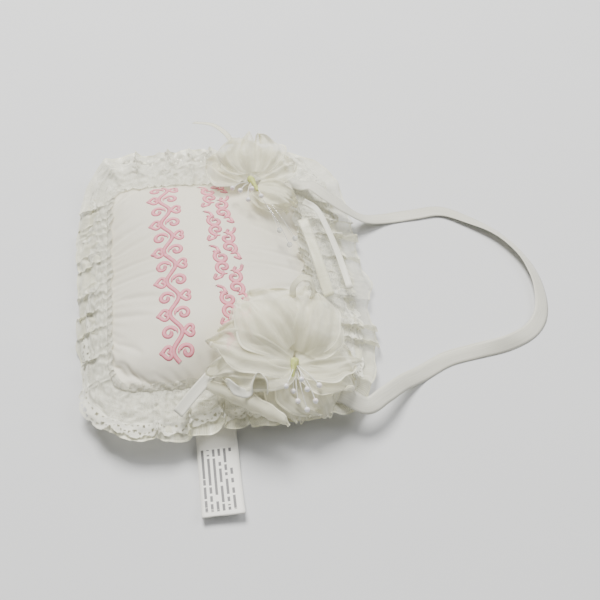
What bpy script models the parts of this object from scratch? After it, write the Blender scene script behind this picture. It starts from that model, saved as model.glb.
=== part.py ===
"""A small satin door pillow: two panels round a soft filling, an organza and a lace ruffle,
two rows of stitching, a chiffon flower at each top corner, a ribbon hanger and a sewn label.

X runs across the pillow, Y towards its top edge and Z out of its front. The origin is the
middle of the flat underside. Sizes are in metres.
"""

import math

import bmesh
import bpy
from mathutils import Vector

# The pillow's body.
WIDTH = 0.127
HEIGHT = 0.102
SEAM_HEIGHT = 0.013
CROWN = 0.017
PANEL_CLOTH = 0.0008
SQUARENESS = 9.0
CROWN_POWER = 2.6
CROWN_ROUNDNESS = 0.62
UNDERSIDE_FLATNESS = 1.6

# The two ruffles round the seam.
ORGANZA_SIDE = 0.0245
ORGANZA_TOP = 0.0290
ORGANZA_BOTTOM = 0.0160
LACE_SIDE = 0.0190
LACE_TOP = 0.0210
LACE_BOTTOM = 0.0120
RUFFLE_CLOTH = 0.0006
RUFFLE_END_SAG = 0.0075
RUFFLE_SIDE_SAG = 0.0025
RUFFLE_WAVE = 0.0012
RUFFLE_WAVES = 24

# The two rows of stitching on the front.
STITCH_HEIGHT = 0.015
STITCH_THICKNESS = 0.0006
STITCH_MARGIN = 0.010
LOWER_ROW_Y = -0.0195
UPPER_ROW_Y = 0.0070

# The care label, sewn below the seam of the right side.
LABEL_WIDTH = 0.018
LABEL_LENGTH = 0.054
LABEL_CLOTH = 0.0006
LABEL_Y = -0.0045
LABEL_SEAM_HEIGHT = 0.0075
LABEL_LOW_HEIGHT = 0.0014

# The ribbons.
HANGER_WIDTH = 0.008
SATIN_WIDTH = 0.004
NARROW_WIDTH = 0.003
RIBBON_CLOTH = 0.0004

# The flowers.
PETAL_CLOTH = 0.0004
PETAL_BASE_WIDTH = 0.0030
STAMEN_RADIUS = 0.00025
STAMEN_ROOT = 0.5
STAMEN_SPREAD = 0.0012
PEARL_RADIUS = 0.0013
CRYSTAL_RADIUS = 0.0014
CRYSTAL_ROOT = 0.6
CRYSTAL_THREAD_RISE = 0.0010

# Touching pieces keep this much air between them.
GAP = 0.0003
LAYER_GAP = 0.0008

# The hanger's ends are sewn into the top seam, and it swings about the line through them.
HANGER_PIVOT = Vector((0.008, 0.058, 0.0205))
HANGER_ROUTE = (
    (-0.0560, 0.0580, 0.0205),
    (-0.0490, 0.0650, 0.0195),
    (-0.0415, 0.0750, 0.0150),
    (-0.0395, 0.0860, 0.0095),
    (-0.0425, 0.1000, 0.0052),
    (-0.0445, 0.1170, 0.0041),
    (-0.0455, 0.1320, 0.0041),
    (-0.0405, 0.1460, 0.0041),
    (-0.0285, 0.1600, 0.0041),
    (-0.0110, 0.1700, 0.0041),
    (0.0090, 0.1710, 0.0041),
    (0.0260, 0.1650, 0.0041),
    (0.0385, 0.1560, 0.0041),
    (0.0465, 0.1420, 0.0041),
    (0.0485, 0.1260, 0.0041),
    (0.0520, 0.1100, 0.0043),
    (0.0590, 0.0940, 0.0065),
    (0.0640, 0.0810, 0.0125),
    (0.0670, 0.0690, 0.0180),
    (0.0700, 0.0580, 0.0205),
)
HANGER_SPAN_STEPS = 2

RIM_STEPS = 40
DOME_SHARES = (0.1, 0.4, 0.62, 0.8, 0.92, 0.98, 1.0)


def clear_scene():
    for obj in list(bpy.data.objects):
        bpy.data.objects.remove(obj, do_unlink=True)


def make_material(name, color, roughness, alpha=1.0, metallic=0.0):
    material = bpy.data.materials.new(name)
    material.use_nodes = True
    shader = material.node_tree.nodes["Principled BSDF"]
    shader.inputs["Base Color"].default_value = (*color, 1.0)
    shader.inputs["Roughness"].default_value = roughness
    shader.inputs["Metallic"].default_value = metallic
    shader.inputs["Alpha"].default_value = alpha
    return material


def add_object(name, data, at, parent, material):
    obj = bpy.data.objects.new(name, data)
    obj.data.materials.append(material)
    obj.location = at
    obj.parent = parent
    bpy.context.scene.collection.objects.link(obj)
    return obj


def add_empty(name, at):
    empty = bpy.data.objects.new(name, None)
    empty.empty_display_size = 0.01
    empty.location = at
    bpy.context.scene.collection.objects.link(empty)
    return empty


def loft(name, sections, material, at=(0, 0, 0), parent=None, wrap=False):
    """One closed body through sections of equally many points, its ends capped unless it wraps."""
    bm = bmesh.new()
    loops = [[bm.verts.new(point) for point in section] for section in sections]
    pairs = list(zip(loops, loops[1:]))
    if wrap:
        pairs.append((loops[-1], loops[0]))
    count = len(loops[0])
    for near, far in pairs:
        for i in range(count):
            j = (i + 1) % count
            bm.faces.new((near[i], near[j], far[j], far[i]))
    if not wrap:
        bm.faces.new(loops[0])
        bm.faces.new(loops[-1])
    bmesh.ops.recalc_face_normals(bm, faces=bm.faces)
    mesh = bpy.data.meshes.new(name)
    bm.to_mesh(mesh)
    bm.free()
    mesh.shade_smooth()
    mesh.set_sharp_from_angle(angle=math.radians(40))
    return add_object(name, mesh, at, parent, material)


def smooth_route(route, steps):
    """A Catmull-Rom curve through the route's own points, with that many steps in each span."""
    points = [Vector(point) for point in route]
    padded = [2 * points[0] - points[1], *points, 2 * points[-1] - points[-2]]
    curve = []
    for a, b, c, d in zip(padded, padded[1:], padded[2:], padded[3:]):
        for step in range(steps):
            t = step / steps
            curve.append(
                0.5 * (2 * b + (c - a) * t + (2 * a - 5 * b + 4 * c - d) * t**2
                       + (3 * b - a - 3 * c + d) * t**3)
            )
    return [*curve, points[-1]]


def strip(name, route, width, cloth, across, material, at=(0, 0, 0), parent=None, steps=4):
    """A flat ribbon along a route. across is its width's direction at the start and at the end."""
    curve = smooth_route(route, steps)
    start, end = Vector(across[0]), Vector(across[1])
    sections = []
    for i, point in enumerate(curve):
        tangent = curve[min(i + 1, len(curve) - 1)] - curve[max(i - 1, 0)]
        side = start.lerp(end, i / (len(curve) - 1))
        side = (side - tangent * side.dot(tangent) / tangent.length_squared).normalized()
        up = tangent.cross(side).normalized() * cloth / 2
        side *= width / 2
        sections.append([point - side - up, point + side - up, point + side + up, point - side + up])
    return loft(name, sections, material, at, parent)


def tube(name, route, radii, material, at=(0, 0, 0), parent=None, steps=1, sides=8):
    """A round body along a route, with a radius at each point of the smoothed route."""
    curve = smooth_route(route, steps)
    sections = []
    for i, point in enumerate(curve):
        tangent = (curve[min(i + 1, len(curve) - 1)] - curve[max(i - 1, 0)]).normalized()
        side = tangent.orthogonal().normalized() if i == 0 else side
        side = (side - tangent * side.dot(tangent)).normalized()
        other = tangent.cross(side)
        radius = radii[min(i, len(radii) - 1)]
        turns = [2 * math.pi * k / sides for k in range(sides)]
        sections.append([point + radius * (side * math.cos(a) + other * math.sin(a)) for a in turns])
    return loft(name, sections, material, at, parent)


def outline(angle, side=0.0, top=0.0, bottom=0.0):
    """A point of the pillow's outline seen from the front, moved out by those reaches."""
    across, up = math.cos(angle), math.sin(angle)
    radius = (abs(across) ** SQUARENESS + abs(up) ** SQUARENESS) ** (-1 / SQUARENESS)
    reach = top if up > 0 else bottom
    return Vector(((WIDTH / 2 + side) * across * radius, (HEIGHT / 2 + reach) * up * radius, 0))


def rim_angles(count=RIM_STEPS):
    return [2 * math.pi * i / count for i in range(count)]


def puff(share):
    """How full the pillow is, from 1 in the middle to 0 at the seam."""
    return (1 - share**CROWN_POWER) ** CROWN_ROUNDNESS


def front_height(x, y):
    """The height of the front panel's outer face."""
    share = (abs(2 * x / WIDTH) ** SQUARENESS + abs(2 * y / HEIGHT) ** SQUARENESS) ** (1 / SQUARENESS)
    return SEAM_HEIGHT + CROWN * puff(min(share, 1.0))


def dome(rise, inset, flatness=1.0):
    """Loops of one half of the pillow, from the middle out to the seam. rise is negative below."""
    base = SEAM_HEIGHT + math.copysign(GAP / 2, rise)
    depth = rise - math.copysign(inset + GAP / 2, rise)
    loops = []
    for share in DOME_SHARES:
        height = base + depth * min(1.0, flatness * puff(share))
        loops.append(
            [outline(a, -inset, -inset, -inset) * share + Vector((0, 0, height)) for a in rim_angles()]
        )
    return loops


def make_panels(satin, wadding):
    front_out, front_in = dome(CROWN, 0.0), dome(CROWN, PANEL_CLOTH)
    back_out = dome(-SEAM_HEIGHT, 0.0, UNDERSIDE_FLATNESS)
    back_in = dome(-SEAM_HEIGHT, PANEL_CLOTH, UNDERSIDE_FLATNESS)
    loft("front_panel", front_out + front_in[::-1], satin)
    loft("back_panel", back_out + back_in[::-1], satin)
    inset = PANEL_CLOTH + GAP
    front_fill, back_fill = dome(CROWN, inset), dome(-SEAM_HEIGHT, inset, UNDERSIDE_FLATNESS)
    loft("fibre_filling", front_fill + back_fill[::-1], wadding)


def ruffle_height(angle, share, level):
    """The middle of a ruffle's cloth, from the seam at share 0 to its hem at share 1."""
    wave = RUFFLE_WAVE * math.cos(RUFFLE_WAVES * angle)
    sag = RUFFLE_END_SAG + (RUFFLE_SIDE_SAG - RUFFLE_END_SAG) * math.cos(angle) ** 2
    return SEAM_HEIGHT + level - share**1.5 * (sag - wave)


def make_ruffle(name, reaches, level, material):
    """A ring of cloth from just outside the panels' seam to its hem."""
    shares = (0.0, 0.55, 1.0)
    half = RUFFLE_CLOTH / 2
    start = 2 * GAP
    sections = []
    for angle in rim_angles(2 * RIM_STEPS):
        inner = outline(angle, start, start, start)
        hem = outline(angle, *reaches)
        sag = max((hem - inner).length / ORGANZA_TOP, 0.0)
        middle = [
            inner.lerp(hem, share) + Vector((0, 0, ruffle_height(angle, share * sag, level)))
            for share in shares
        ]
        top = [point + Vector((0, 0, half)) for point in middle]
        under = [point - Vector((0, 0, half)) for point in middle]
        sections.append(top + under[::-1])
    return loft(name, sections, material, wrap=True)


def make_ruffles(organza, lace):
    layer = RUFFLE_CLOTH + LAYER_GAP
    make_ruffle("organza_ruffle", (ORGANZA_SIDE, ORGANZA_TOP, ORGANZA_BOTTOM), 0.0, organza)
    make_ruffle("lace_ruffle", (LACE_SIDE, LACE_TOP, LACE_BOTTOM), layer, lace)


def make_stitching(name, y, thread):
    """A low band of satin stitch that follows the front panel's crown."""
    steps = 18
    low = 2 * GAP
    sections = []
    for i in range(steps + 1):
        x = (WIDTH / 2 - STITCH_MARGIN) * (2 * i / steps - 1)
        rows = [y + STITCH_HEIGHT * share for share in (-0.5, 0, 0.5)]
        under = [Vector((x, row, front_height(x, row) + low)) for row in rows]
        top = [point + Vector((0, 0, STITCH_THICKNESS)) for point in under]
        sections.append(under + top[::-1])
    return loft(name, sections, thread)


def make_label(satin):
    """The label hangs from its own line of stitches and turns about that line."""
    start = 3 * GAP
    pivot = add_empty("label_stitch_line", (WIDTH / 2 + start, LABEL_Y, LABEL_SEAM_HEIGHT))
    fall = LABEL_SEAM_HEIGHT - LABEL_LOW_HEIGHT
    route = (
        (0.0, 0, 0),
        (0.16 * LABEL_LENGTH, 0, -0.25 * fall),
        (0.42 * LABEL_LENGTH, 0, -0.75 * fall),
        (0.75 * LABEL_LENGTH, 0, -fall),
        (LABEL_LENGTH, 0, -0.9 * fall),
    )
    across = ((0, 1, 0), (0, 1, 0))
    strip("care_label", route, LABEL_WIDTH, LABEL_CLOTH, across, satin, parent=pivot, steps=3)


def make_hanger(satin):
    """The ribbon is a flat one; this round body has its width as its diameter."""
    pivot = add_empty("hanger_seam_line", HANGER_PIVOT)
    data = bpy.data.curves.new("hanger_ribbon", "CURVE")
    data.dimensions = "3D"
    data.bevel_depth = HANGER_WIDTH / 2
    data.bevel_resolution = 3
    data.use_fill_caps = True
    spline = data.splines.new("POLY")
    curve = smooth_route(HANGER_ROUTE, HANGER_SPAN_STEPS)
    spline.points.add(len(curve) - 1)
    for point, place in zip(spline.points, curve):
        point.co = (*(place - HANGER_PIVOT), 1)
    add_object("hanger_ribbon", data, (0, 0, 0), pivot, satin)


def make_petal(name, root, tip, width, arch, droop, chiffon, flower):
    """A cupped petal from its root to its tip, both seen from the flower's centre."""
    root, tip = Vector(root), Vector(tip)
    across = (tip - root).cross(Vector((0, 0, 1))).normalized()
    steps, halves = 8, (-1.0, -0.55, 0.0, 0.55, 1.0)
    sections = []
    for i in range(steps + 1):
        share = i / steps
        half = PETAL_BASE_WIDTH / 2 + (width - PETAL_BASE_WIDTH) / 2 * math.sin(math.pi * share**0.75) ** 0.7
        middle = root.lerp(tip, share) + Vector((0, 0, 4 * arch * share * (1 - share)))
        fall = droop * math.sin(math.pi * share)
        top = [middle + across * half * h - Vector((0, 0, fall * h * h)) for h in halves]
        under = [point - Vector((0, 0, PETAL_CLOTH)) for point in top]
        sections.append(top + under[::-1])
    return loft(name, sections, chiffon, parent=flower)


def make_stamen(name, root, tip, bead_radius, thread, flower):
    """A stiff thread that ends in a bead."""
    root, tip = Vector(root), Vector(tip)
    along = (tip - root).normalized()
    bend = root.lerp(tip, 0.5) + Vector((0, 0, 0.1 * (tip - root).length))
    neck = tip - along * bead_radius * 1.8
    places = [(root, STAMEN_RADIUS), (bend, STAMEN_RADIUS), (neck, STAMEN_RADIUS)]
    for share in (0.2, 0.6, 1.0, 1.4, 1.8):
        radius = bead_radius * math.sqrt(1 - (share - 1) ** 2)
        places.append((tip + along * bead_radius * (share - 1), radius))
    route, radii = zip(*places)
    tube(name, route, radii, thread, parent=flower, sides=6)


def make_pearls(side, tips, pearl, flower):
    """The stamens of one flower, spread round its calyx."""
    for number, tip in enumerate(tips, 1):
        turn = 2 * math.pi * number / len(tips)
        spread = Vector((0, math.cos(turn), math.sin(turn))) * STAMEN_SPREAD
        root = Vector(tip) * STAMEN_ROOT + spread
        make_stamen(f"{side}_flower_stamen_{number}", root, tip, PEARL_RADIUS, pearl, flower)


def make_crystals(side, places, glass, flower):
    """Clear beads on clear threads, each lying that far above the pillow at its place."""
    for number, (x, y, clearance) in enumerate(places, 1):
        there = flower.location + Vector((x, y, 0))
        height = front_height(there.x, there.y) + CRYSTAL_RADIUS + clearance - flower.location.z
        tip = Vector((x, y, height))
        root = Vector((x, y, height)) * CRYSTAL_ROOT + Vector((0, 0, CRYSTAL_THREAD_RISE))
        make_stamen(f"{side}_crystal_{number}", root, tip, CRYSTAL_RADIUS, glass, flower)


def make_right_flower(chiffon, satin, lace, tape, pearl, glass):
    """The open flower at the top right corner, with its stamens towards the right side."""
    x, y = WIDTH / 2 - 0.001, HEIGHT / 2 - 0.019
    flower = add_empty("right_flower", (x, y, SEAM_HEIGHT + 0.0145))
    petals = (
        ((-0.003, -0.006, 0.000), (-0.019, -0.036, 0.005), 0.026, 0.0060, 0.004),
        ((-0.007, -0.001, 0.005), (-0.036, -0.006, 0.012), 0.030, 0.0070, 0.003),
        ((-0.004, 0.004, 0.000), (-0.028, 0.018, 0.002), 0.020, 0.0060, 0.003),
        ((0.000, 0.005, -0.001), (0.002, 0.0185, -0.005), 0.012, 0.0020, 0.001),
        ((0.005, 0.002, -0.004), (0.021, 0.007, -0.010), 0.016, 0.0010, 0.001),
    )
    for number, shape in enumerate(petals, 1):
        make_petal(f"right_flower_petal_{number}", *shape, chiffon, flower)
    stem = ((-0.0005, -0.0005, 0.0015), (0.002, -0.001, 0.0005), (0.0045, -0.0025, -0.0005))
    tube("right_flower_calyx", stem, (0.0016, 0.0018, 0.0006), tape, parent=flower)
    tips = (
        (0.008, -0.010, -0.004), (0.012, -0.0065, -0.0045), (0.0095, -0.0028, 0.0035),
        (0.014, -0.0005, 0.0005), (0.017, -0.0055, -0.0045), (0.0175, 0.004, -0.004),
        (0.0135, 0.0055, 0.0005), (0.0205, -0.001, -0.0055), (0.012, -0.0105, 0.0005),
    )
    make_pearls("right", tips, pearl, flower)
    roll = ((0.004, -0.038, -0.008), (0.007, -0.031, -0.007), (0.013, -0.021, -0.0065),
            (0.019, -0.013, -0.007), (0.023, -0.007, -0.008))
    tube("right_lace_roll", roll, (0.0006, 0.0028, 0.0034, 0.003, 0.001), lace, parent=flower)
    tail = ((-0.004, -0.033, -0.0030), (0.003, -0.040, -0.0045), (0.010, -0.050, -0.0090),
            (0.015, -0.056, -0.0108))
    level = ((0.6, -0.5, 0.1), (0.6, -0.5, 0.1))
    strip("right_satin_tail", tail, SATIN_WIDTH, RIBBON_CLOTH, level, satin, parent=flower)
    curl = ((0.001, -0.022, -0.0055), (0.006, -0.025, -0.0005), (0.010, -0.022, 0.0005),
            (0.011, -0.018, -0.0015))
    strip("right_satin_curl", curl, NARROW_WIDTH, RIBBON_CLOTH, ((0.4, 1, 0), (0.3, 1, 0.3)), satin,
          parent=flower)
    loop = ((-0.024, 0.000, 0.0175), (-0.029, 0.003, 0.0225), (-0.031, 0.0085, 0.0235),
            (-0.029, 0.0130, 0.0200), (-0.026, 0.0135, 0.0150))
    strip("right_ribbon_loop", loop, NARROW_WIDTH, RIBBON_CLOTH, ((1, 0, 0), (1, 0, 0.2)), satin,
          parent=flower)
    make_crystals("right", ((-0.029, 0.0225, 0.0035),), glass, flower)


def make_left_flower(chiffon, satin, organza, tape, pearl, glass):
    """The flower at the top left corner, lying back over the left side."""
    x, y = -WIDTH / 2 + 0.0175, HEIGHT / 2 - 0.027
    flower = add_empty("left_flower", (x, y, SEAM_HEIGHT + 0.0185))
    petals = (
        ((-0.004, -0.005, -0.001), (-0.024, -0.020, -0.006), 0.022, 0.0040, 0.002),
        ((-0.006, 0.001, 0.002), (-0.029, 0.005, -0.002), 0.024, 0.0050, 0.003),
        ((-0.004, 0.005, 0.000), (-0.014, 0.024, -0.006), 0.020, 0.0045, 0.002),
        ((0.005, 0.004, -0.001), (0.016, 0.019, -0.003), 0.014, 0.0030, 0.001),
    )
    for number, shape in enumerate(petals, 1):
        make_petal(f"left_flower_petal_{number}", *shape, chiffon, flower)
    stem = ((-0.0005, 0.0005, 0.0005), (0.002, -0.001, 0.001), (0.005, -0.003, 0.0015))
    tube("left_flower_calyx", stem, (0.0016, 0.0018, 0.0006), tape, parent=flower)
    tips = (
        (0.011, -0.0105, 0.005), (0.0125, -0.0045, 0.0065), (0.0165, 0.0005, 0.005),
        (0.0075, -0.0150, 0.0035), (0.0170, -0.0070, 0.0035),
    )
    make_pearls("left", tips, pearl, flower)
    level = ((0, 1, 0), (0.2, 1, 0))
    tail = ((0.013, 0.0335, -0.0105), (0.024, 0.0365, -0.0110), (0.042, 0.0400, -0.0130),
            (0.060, 0.0420, -0.0150))
    strip("left_satin_tail", tail, NARROW_WIDTH, RIBBON_CLOTH, level, satin, parent=flower)
    band = ((0.026, 0.0250, -0.0075), (0.036, 0.0265, -0.0070), (0.048, 0.0280, -0.0080),
            (0.066, 0.0310, -0.0130))
    strip("left_organza_ribbon", band, SATIN_WIDTH, RIBBON_CLOTH, level, organza, parent=flower)
    wisp = ((-0.029, -0.009, 0.004), (-0.036, -0.014, 0.006), (-0.043, -0.024, 0.003))
    strip("left_organza_streamer", wisp, NARROW_WIDTH, RIBBON_CLOTH, ((0.5, -1, 0), (1, -1, 0)),
          organza, parent=flower)
    crystals = ((0.034, 0.0100, 0.0015), (0.037, 0.0195, 0.0015), (0.042, 0.0150, 0.0015))
    make_crystals("left", crystals, glass, flower)


def main():
    clear_scene()
    satin = make_material("ivory_satin", (0.80, 0.78, 0.70), 0.45)
    wadding = make_material("white_wadding", (0.85, 0.85, 0.83), 0.95)
    organza = make_material("sheer_organza", (0.86, 0.86, 0.80), 0.35, alpha=0.45)
    lace = make_material("white_lace", (0.88, 0.88, 0.86), 0.85)
    chiffon = make_material("ivory_chiffon", (0.82, 0.81, 0.72), 0.55, alpha=0.8)
    thread = make_material("pink_thread", (0.75, 0.32, 0.38), 0.5)
    tape = make_material("green_tape", (0.48, 0.52, 0.16), 0.7)
    pearl = make_material("pearl_bead", (0.86, 0.80, 0.80), 0.2)
    glass = make_material("clear_bead", (0.92, 0.94, 0.96), 0.05, alpha=0.6)
    label_cloth = make_material("label_cloth", (0.80, 0.79, 0.76), 0.6)

    make_panels(satin, wadding)
    make_ruffles(organza, lace)
    make_stitching("lower_stitch_row", LOWER_ROW_Y, thread)
    make_stitching("upper_stitch_row", UPPER_ROW_Y, thread)
    make_label(label_cloth)
    make_hanger(satin)
    make_right_flower(chiffon, satin, lace, tape, pearl, glass)
    make_left_flower(chiffon, satin, organza, tape, pearl, glass)


main()
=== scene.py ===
import math

import bmesh
import bpy
from mathutils import Matrix, Vector, noise
from mathutils.bvhtree import BVHTree


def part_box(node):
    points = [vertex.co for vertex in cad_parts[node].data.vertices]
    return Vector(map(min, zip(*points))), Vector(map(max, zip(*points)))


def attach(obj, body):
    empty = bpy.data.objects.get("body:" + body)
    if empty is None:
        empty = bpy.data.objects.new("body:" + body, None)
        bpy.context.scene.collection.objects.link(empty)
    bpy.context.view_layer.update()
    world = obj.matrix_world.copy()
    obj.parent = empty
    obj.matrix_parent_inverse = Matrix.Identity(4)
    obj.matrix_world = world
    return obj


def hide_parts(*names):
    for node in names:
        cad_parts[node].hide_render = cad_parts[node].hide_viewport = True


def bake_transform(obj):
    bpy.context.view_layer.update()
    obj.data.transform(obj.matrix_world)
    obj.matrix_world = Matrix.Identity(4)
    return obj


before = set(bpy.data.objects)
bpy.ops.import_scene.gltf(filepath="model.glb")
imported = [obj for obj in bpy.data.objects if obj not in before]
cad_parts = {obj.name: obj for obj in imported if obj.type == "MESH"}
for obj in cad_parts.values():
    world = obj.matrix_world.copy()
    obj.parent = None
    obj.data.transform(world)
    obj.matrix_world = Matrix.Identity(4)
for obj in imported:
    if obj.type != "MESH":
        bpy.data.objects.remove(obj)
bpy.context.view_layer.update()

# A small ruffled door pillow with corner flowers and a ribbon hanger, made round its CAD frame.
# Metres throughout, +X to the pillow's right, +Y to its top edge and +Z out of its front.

MM = 0.001
UP = Vector((0, 0, 1))

# Without a seed, noise_vector would crease the ruffles differently in every run.
noise.seed_set(4)


def node_box(node):
    low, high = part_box(node)
    return Vector(low), Vector(high)


# The pillow's body, read from its two panels. Its outline is a superellipse.
FRONT_LOW, FRONT_HIGH = node_box("front_panel")
BACK_LOW, BACK_HIGH = node_box("back_panel")
HALF_WIDTH = (FRONT_HIGH.x - FRONT_LOW.x) / 2
HALF_HEIGHT = (FRONT_HIGH.y - FRONT_LOW.y) / 2
SEAM_HEIGHT = (FRONT_LOW.z + BACK_HIGH.z) / 2
CROWN = FRONT_HIGH.z - SEAM_HEIGHT
DEPTH = SEAM_HEIGHT - BACK_LOW.z
SQUARENESS = 9.0
FLOOR_GAP = 0.4 * MM

# The ruffles' corners, which give their reach past the front panel.
ORGANZA_LOW, ORGANZA_HIGH = node_box("organza_ruffle")
LACE_LOW, LACE_HIGH = node_box("lace_ruffle")

# The flowers' centres, as the frame has them.
RIGHT_FLOWER = Vector((FRONT_HIGH.x - 0.001, FRONT_HIGH.y - 0.019, SEAM_HEIGHT + 0.0145))
LEFT_FLOWER = Vector((FRONT_LOW.x + 0.0175, FRONT_HIGH.y - 0.027, SEAM_HEIGHT + 0.0185))

# The lace strip, in millimetres: its width, one scallop's length, and the share of the
# width that stands above the gathering.
LACE_WIDTH = 26.0
SCALLOP = 6.0
HEADING = 0.2

# The hanger: its width, and its route from stitches to stitches. Each row is a place and how far
# the ribbon leans over sideways there, in radians.
HANGER_WIDTH = 0.008
HANGER_ROUTE = (
    (-0.0610, 0.0445, 0.0180, 0.10), (-0.0555, 0.0520, 0.0185, 0.10), (-0.0530, 0.0580, 0.0205, 0.10),
    (-0.0460, 0.0650, 0.0195, 0.15), (-0.0400, 0.0750, 0.0150, 0.20), (-0.0395, 0.0860, 0.0095, 0.15),
    (-0.0425, 0.1000, 0.0052, 0.10), (-0.0445, 0.1170, 0.0041, 0.10), (-0.0455, 0.1320, 0.0041, 0.15),
    (-0.0380, 0.1450, 0.0041, 0.30), (-0.0250, 0.1595, 0.0041, 0.55), (-0.0080, 0.1685, 0.0041, 0.60),
    (0.0090, 0.1710, 0.0041, 0.50), (0.0270, 0.1675, 0.0041, 0.35), (0.0385, 0.1585, 0.0041, 0.20),
    (0.0460, 0.1430, 0.0041, 0.50), (0.0485, 0.1260, 0.0041, 0.25), (0.0515, 0.1105, 0.0043, 0.20),
    (0.0585, 0.0960, 0.0065, 0.35), (0.0655, 0.0840, 0.0100, 0.50), (0.0735, 0.0730, 0.0130, 0.40),
    (0.0790, 0.0630, 0.0145, 0.30), (0.0740, 0.0530, 0.0175, 0.30), (0.0695, 0.0450, 0.0167, 0.30),
)

# Thicknesses of ribbon and label tape, in millimetres.
RIBBON_THICKNESS = 0.22
TAPE_THICKNESS = 0.16


# ---------------------------------------------------------------- materials


class Finish:
    """A material with one Principled shader, and short ways to wire nodes into it."""

    def __init__(self, name, color, roughness, **sockets):
        self.material = bpy.data.materials.new(name)
        self.material.use_nodes = True
        self.tree = self.material.node_tree
        self.shader = self.tree.nodes["Principled BSDF"]
        self.shader.inputs["Base Color"].default_value = (*color, 1)
        self.shader.inputs["Roughness"].default_value = roughness
        for socket, value in sockets.items():
            self.shader.inputs[socket.replace("_", " ")].default_value = value

    def node(self, kind, inputs=None, **settings):
        node = self.tree.nodes.new(kind)
        for key, value in settings.items():
            setattr(node, key, value)
        for key, value in (inputs or {}).items():
            if isinstance(value, bpy.types.NodeSocket):
                self.tree.links.new(value, node.inputs[key])
            else:
                node.inputs[key].default_value = value
        return node

    def place(self, scale=(1, 1, 1), turn=0.0, uv=False):
        """Object coordinates in millimetres, or one of the cloth's own UV maps, turned about Z."""
        if uv:
            source = self.node("ShaderNodeUVMap", uv_map="cloth" if uv is True else uv).outputs["UV"]
            size = scale
        else:
            source = self.node("ShaderNodeTexCoord").outputs["Object"]
            size = [1000 * s for s in scale]
        inputs = {"Vector": source, "Rotation": (0, 0, turn), "Scale": size}
        return self.node("ShaderNodeMapping", inputs).outputs["Vector"]

    def noise(self, vector, scale, detail=3.0, rough=0.5):
        inputs = {"Vector": vector, "Scale": scale, "Detail": detail, "Roughness": rough}
        return self.node("ShaderNodeTexNoise", inputs).outputs["Fac"]

    def wave(self, vector, period, direction="X", bend=0.0):
        """Bands with that period in millimetres."""
        inputs = {"Vector": vector, "Scale": math.pi / 10 / period, "Distortion": bend, "Detail": 2.0}
        return self.node("ShaderNodeTexWave", inputs, bands_direction=direction).outputs["Fac"]

    def math(self, operation, a, b=0.0, c=0.0):
        node = self.node("ShaderNodeMath", operation=operation)
        for socket, value in zip(node.inputs, (a, b, c)):
            if isinstance(value, bpy.types.NodeSocket):
                self.tree.links.new(value, socket)
            else:
                socket.default_value = value
        return node.outputs[0]

    def ramp(self, value, stops):
        node = self.node("ShaderNodeValToRGB", {"Fac": value})
        elements = node.color_ramp.elements
        while len(elements) < len(stops):
            elements.new(0.5)
        for element, (at, color) in zip(elements, stops):
            element.position = at
            element.color = (*color, 1)
        return node.outputs["Color"]

    def spread(self, value, low, high):
        inputs = {"Value": value, "To Min": low, "To Max": high}
        return self.node("ShaderNodeMapRange", inputs).outputs["Result"]

    def mix(self, factor, a, b):
        node = self.node("ShaderNodeMix", data_type="RGBA")
        for key, value in (("Factor", factor), (6, a), (7, b)):
            socket = node.inputs[key]
            if isinstance(value, bpy.types.NodeSocket):
                self.tree.links.new(value, socket)
            else:
                socket.default_value = value if key == "Factor" else (*value, 1)
        return node.outputs[2]

    def weave(self, vector, warp, weft, bend=0.0, operation="MULTIPLY"):
        """Two crossing sets of bands, with those periods in millimetres."""
        return self.math(operation, self.wave(vector, warp, "X", bend), self.wave(vector, weft, "Y", bend))

    def split(self, vector):
        return self.node("ShaderNodeSeparateXYZ", {"Vector": vector}).outputs

    def off(self, value, middle):
        """How far the value is from the middle one."""
        return self.math("ABSOLUTE", self.math("SUBTRACT", value, middle))

    def feed(self, socket, value):
        self.tree.links.new(value, self.shader.inputs[socket])

    def tint(self, value, dull, bright, span=(0.3, 0.7)):
        """Colours the surface from dull to bright as the value goes through its span."""
        self.feed("Base Color", self.ramp(value, ((span[0], dull), (span[1], bright))))

    def bump(self, height, distance_mm, strength=1.0):
        inputs = {"Height": height, "Distance": distance_mm * MM, "Strength": strength}
        self.feed("Normal", self.node("ShaderNodeBump", inputs).outputs["Normal"])


def ivory_satin():
    finish = Finish("ivory_satin", (0.8, 0.78, 0.7), 0.5, Sheen_Weight=0.25, Sheen_Roughness=0.4,
                    Anisotropic=0.35, Specular_IOR_Level=0.4)
    place = finish.place()
    cloudy = finish.noise(place, 0.03, 4.0)
    finish.tint(cloudy, (0.765, 0.72, 0.58), (0.81, 0.77, 0.645), (0.35, 0.65))
    finish.feed("Roughness", finish.spread(finish.noise(place, 0.15), 0.42, 0.6))
    slubs = finish.noise(finish.place((0.05, 1.6, 1)), 1.0, 2.0)
    weave = finish.weave(place, 0.32, 0.21, 0.3)
    finish.bump(finish.math("MULTIPLY_ADD", slubs, 0.8, weave), 0.05, 0.5)
    return finish.material


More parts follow.
